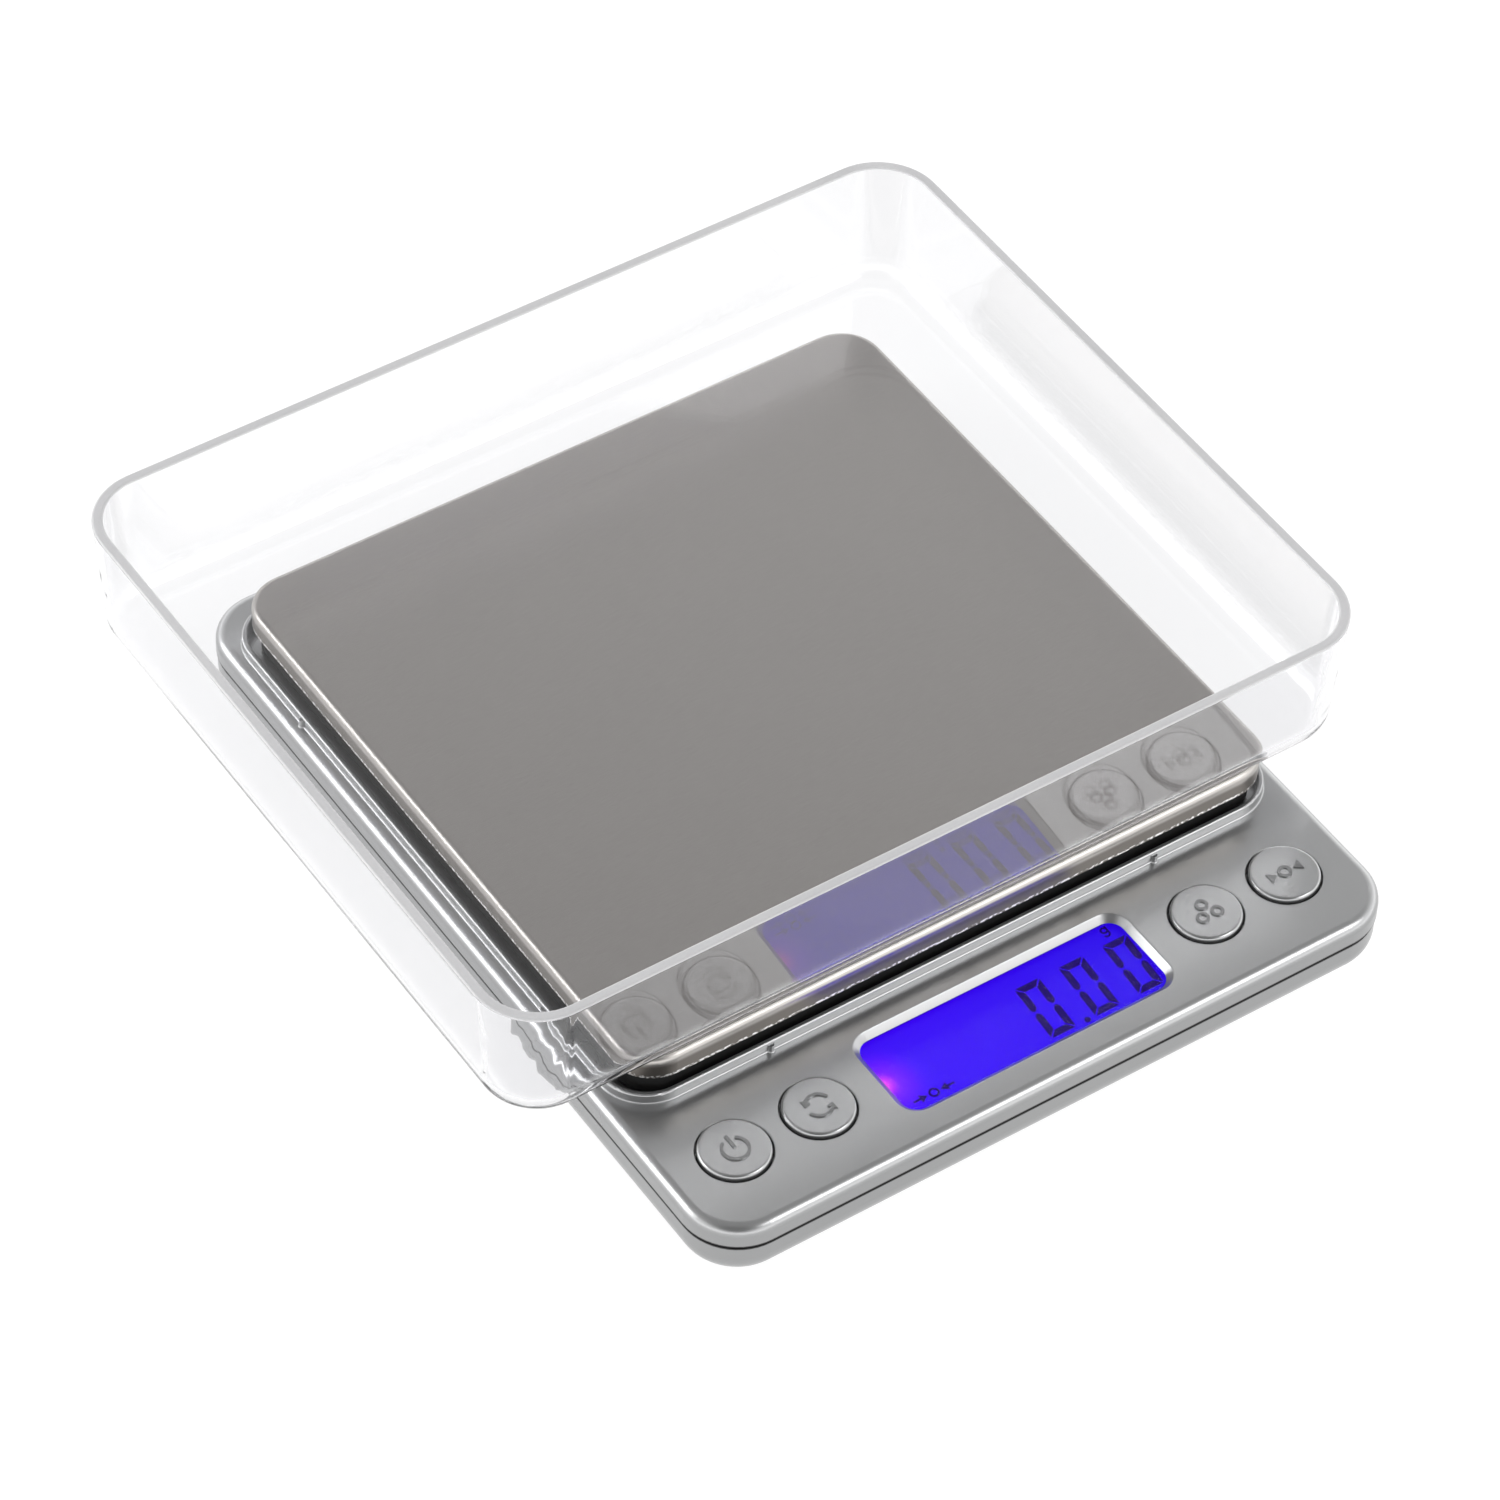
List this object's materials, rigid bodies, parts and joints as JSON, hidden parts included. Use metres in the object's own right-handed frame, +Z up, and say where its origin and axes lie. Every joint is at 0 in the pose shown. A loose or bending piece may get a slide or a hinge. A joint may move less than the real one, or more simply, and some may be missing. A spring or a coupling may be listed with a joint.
{
  "type": "digital gram scale",
  "caption": "Flat pocket gram scale with a back-lit display, push buttons, a sprung stainless platform and a clear lift-off tray.",
  "frame": {"origin": "middle of the footprint that the scale and its tray cover together, on the table", "axes": "+Z up, -Y towards the user at the control panel, +X to the right along the control panel"},
  "size_m": [0.131, 0.1302, 0.0389],
  "materials": {
    "silver_shell": "satin silver paint on moulded plastic",
    "button_silver": "satin silver paint",
    "stainless_sheet": "fine satin grain",
    "black_plastic": "fine matte texture",
    "tray_clear": "polished clear plastic",
    "lens_clear": "polished clear plastic",
    "display_blue": "back-lit display, saturated blue",
    "guide_clear": "frosted light guide",
    "lamp_blue": "moulded lamp",
    "white_plastic": "moulded white plastic",
    "zebra_rubber": "striped elastomer",
    "board_green": "solder resist on laminate",
    "black_resin": "moulded resin",
    "switch_black": "moulded housing",
    "plunger_white": "moulded plastic",
    "feet_rubber": "matte rubber",
    "zinc_screws": "bright zinc plating",
    "zinc_plate": "zinc-plated sheet",
    "cell_aluminium": "milled",
    "gauge_sealant": "white silicone sealant",
    "foam_tape": "foam tape",
    "nickel_strip": "nickel-plated strip",
    "cell_jacket": "plain printed jacket with a copper-tone band",
    "wire_sheath": "coloured wire sheaths"
  },
  "bodies": {
    "base": {"bottom_case": "silver_shell", "top_case": "silver_shell", "rubber_feet": "feet_rubber", "case_screws": "zinc_screws", "load_cell": "cell_aluminium", "strain_gauge_seals": "gauge_sealant", "load_cell_shim": "zinc_plate", "load_cell_base_screws": "zinc_screws", "overload_stop_screw": "zinc_screws", "circuit_board": "board_green", "board_screws": "zinc_screws", "display_lens": "lens_clear", "display_glass": "display_blue", "display_frame": "white_plastic", "light_guide": "guide_clear", "light_source": "lamp_blue", "zebra_strip": "zebra_rubber", "processor_blob": "black_resin", "load_cell_wires": "wire_sheath", "battery_leads": "wire_sheath", "converter_chip": "black_resin", "memory_chip": "black_resin", "battery_minus_contact": "nickel_strip", "battery_plus_contact": "nickel_strip", "battery_bridge_contact": "nickel_strip", "battery_front": "cell_jacket", "battery_rear": "cell_jacket", "power_switch": "switch_black", "mode_switch": "switch_black", "count_switch": "switch_black", "tare_switch": "switch_black"},
    "platform": {"platform_plate": "stainless_sheet", "platform_adhesive_pads": "foam_tape", "platform_carrier": "black_plastic", "platform_screws": "zinc_screws"},
    "tray_body": {"tray": "tray_clear"},
    "battery_lid_body": {"battery_lid": "silver_shell"},
    "power_key": {"power_button": "button_silver", "power_plunger": "plunger_white"},
    "mode_key": {"mode_button": "button_silver", "mode_plunger": "plunger_white"},
    "count_key": {"count_button": "button_silver", "count_plunger": "plunger_white"},
    "tare_key": {"tare_button": "button_silver", "tare_plunger": "plunger_white"}
  },
  "joints": [
    {"name": "platform_deflection", "type": "slide", "parent": "base", "child": "platform", "axis": [0, 0, -1], "range_m": [0, 0.0004], "stiffness_N_per_m": 20000, "deforming": ["load_cell"]},
    {"name": "tray_lift", "type": "slide", "parent": "platform", "child": "tray_body", "axis": [0, 0, 1], "range_m": [0, 0.06]},
    {"name": "battery_lid_hinge", "type": "hinge", "parent": "base", "child": "battery_lid_body", "pos_m": [0.0035, 0.04475, 0.00175], "axis": [1, 0, 0], "range_deg": [0, 40]},
    {"name": "power_press", "type": "slide", "parent": "base", "child": "power_key", "axis": [0, 0, -1], "range_m": [0, 0.0005], "stiffness_N_per_m": 3000},
    {"name": "mode_press", "type": "slide", "parent": "base", "child": "mode_key", "axis": [0, 0, -1], "range_m": [0, 0.0005], "stiffness_N_per_m": 3000},
    {"name": "count_press", "type": "slide", "parent": "base", "child": "count_key", "axis": [0, 0, -1], "range_m": [0, 0.0005], "stiffness_N_per_m": 3000},
    {"name": "tare_press", "type": "slide", "parent": "base", "child": "tare_key", "axis": [0, 0, -1], "range_m": [0, 0.0005], "stiffness_N_per_m": 3000}
  ]
}
